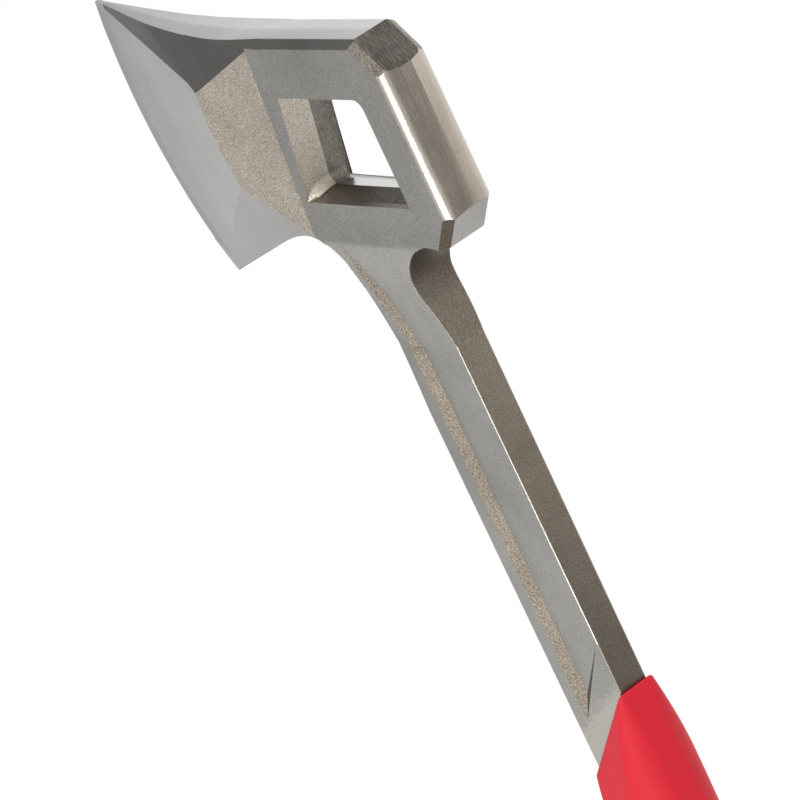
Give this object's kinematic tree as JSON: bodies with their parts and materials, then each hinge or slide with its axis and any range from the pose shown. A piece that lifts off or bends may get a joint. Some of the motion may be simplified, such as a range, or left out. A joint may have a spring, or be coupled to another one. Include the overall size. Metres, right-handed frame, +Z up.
{
  "type": "forged rescue bar",
  "caption": "One-piece forged rescue bar with an axe blade, hammer poll, wrench window, fullered shank, moulded grip and forked pry claw.",
  "frame": {"origin": "centre of the plan box of the bar lying on its side, at the height of the underside of the grip", "axes": "+X along the bar towards the axe head, +Y towards the cutting edge, +Z up off the cheek, the way the rear claw sweeps"},
  "size_m": [0.76, 0.2252, 0.0381],
  "materials": {
    "forged_steel": "belt-ground forging skin, satin",
    "core_nylon": "moulded, matt",
    "fastener_steel": "plain",
    "grip_rubber": "matt moulded",
    "collar_plastic": "moulded, matt",
    "pin_steel": "ground"
  },
  "bodies": {
    "root": {"forged_bar": "forged_steel", "grip_core_left": "core_nylon", "grip_core_right": "core_nylon", "core_screws": "fastener_steel", "core_nuts": "fastener_steel", "grip_sleeve": "grip_rubber", "rear_collar": "collar_plastic", "collar_pin": "pin_steel"}
  },
  "joints": []
}
